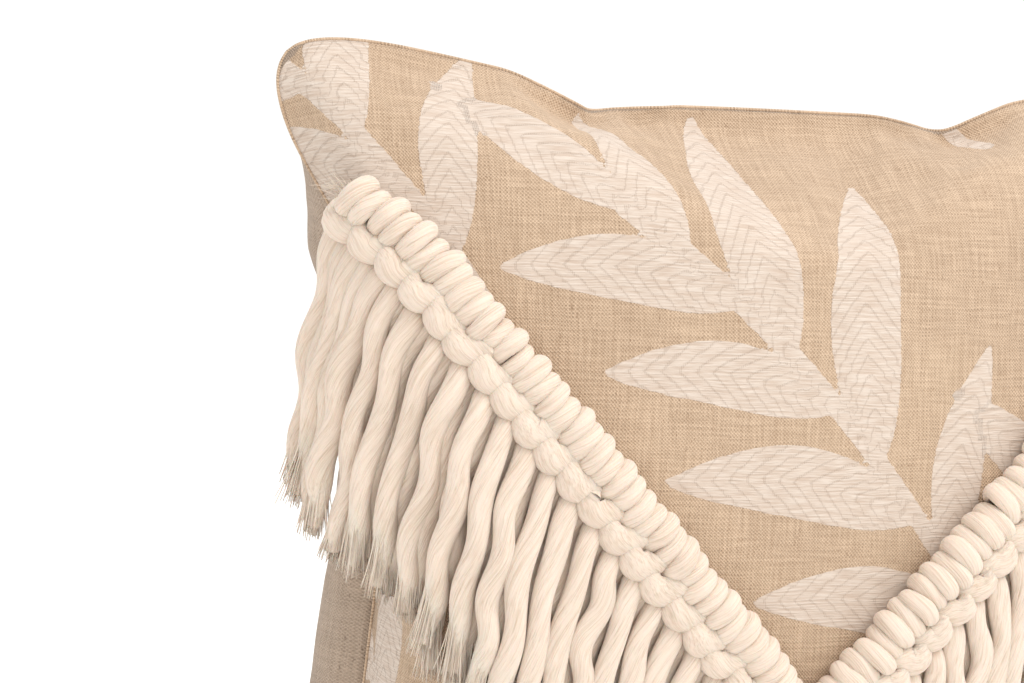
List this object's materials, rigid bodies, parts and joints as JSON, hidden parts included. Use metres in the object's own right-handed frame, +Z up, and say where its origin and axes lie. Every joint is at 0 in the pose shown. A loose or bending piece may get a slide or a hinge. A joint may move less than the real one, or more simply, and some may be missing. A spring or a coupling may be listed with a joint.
{
  "type": "throw pillow",
  "caption": "Square throw pillow standing on its lower edge, with a V of knotted cord fringe on its front and a concealed zip in its bottom seam.",
  "frame": {"origin": "on the floor, under the middle of the whole object's box; the seam plane is 9.7 mm behind it", "axes": "+Z up; the front with the fringe faces -Y; the bottom seam and its zip run along X"},
  "size_m": [0.4216, 0.1693, 0.3765],
  "materials": {
    "front_cloth": "matte",
    "back_cloth": "matte",
    "cream_cord": "matte",
    "casing_cloth": "matte",
    "filling": "matte",
    "zip_tape": "matte",
    "zip_nylon": "satin",
    "zip_metal": "satin",
    "label_satin": "satin"
  },
  "bodies": {
    "cover": {"front_panel": "front_cloth", "back_panel": "back_cloth", "insert_casing_front": "casing_cloth", "insert_casing_back": "casing_cloth", "insert_filling": "filling", "zip_tape_front": "zip_tape", "zip_tape_back": "zip_tape", "zip_teeth_front": "zip_nylon", "zip_teeth_back": "zip_nylon", "zip_bottom_stop": "zip_metal", "zip_top_stop": "zip_metal", "care_label": "label_satin", "carrier_cord": "cream_cord", "fringe_cord_left_01": "cream_cord", "fringe_cord_left_02": "cream_cord", "fringe_cord_left_03": "cream_cord", "fringe_cord_left_04": "cream_cord", "fringe_cord_left_05": "cream_cord", "fringe_cord_left_06": "cream_cord", "fringe_cord_left_07": "cream_cord", "fringe_cord_left_08": "cream_cord", "fringe_cord_left_09": "cream_cord", "fringe_cord_left_10": "cream_cord", "fringe_cord_left_11": "cream_cord", "fringe_cord_left_12": "cream_cord", "fringe_cord_left_13": "cream_cord", "fringe_cord_left_14": "cream_cord", "fringe_cord_left_15": "cream_cord", "fringe_cord_left_16": "cream_cord", "fringe_cord_left_17": "cream_cord", "fringe_cord_left_18": "cream_cord", "fringe_cord_left_19": "cream_cord", "fringe_cord_left_20": "cream_cord", "fringe_cord_left_21": "cream_cord", "fringe_cord_right_01": "cream_cord", "fringe_cord_right_02": "cream_cord", "fringe_cord_right_03": "cream_cord", "fringe_cord_right_04": "cream_cord", "fringe_cord_right_05": "cream_cord", "fringe_cord_right_06": "cream_cord", "fringe_cord_right_07": "cream_cord", "fringe_cord_right_08": "cream_cord", "fringe_cord_right_09": "cream_cord", "fringe_cord_right_10": "cream_cord", "fringe_cord_right_11": "cream_cord", "fringe_cord_right_12": "cream_cord", "fringe_cord_right_13": "cream_cord", "fringe_cord_right_14": "cream_cord", "fringe_cord_right_15": "cream_cord", "fringe_cord_right_16": "cream_cord", "fringe_cord_right_17": "cream_cord", "fringe_cord_right_18": "cream_cord", "fringe_cord_right_19": "cream_cord", "fringe_cord_right_20": "cream_cord", "fringe_cord_right_21": "cream_cord"},
    "slider": {"zip_slider": "zip_metal"},
    "pull_tab": {"zip_pull_tab": "zip_metal"}
  },
  "joints": [
    {"name": "zip_slide", "type": "slide", "parent": "cover", "child": "slider", "axis": [-1, 0, 0], "range_m": [0, 0.306]},
    {"name": "pull_tab_hinge", "type": "hinge", "parent": "slider", "child": "pull_tab", "pos_m": [0.153, 0.0097, 0.0015], "axis": [0, -1, 0], "range_deg": [0, 150]}
  ]
}
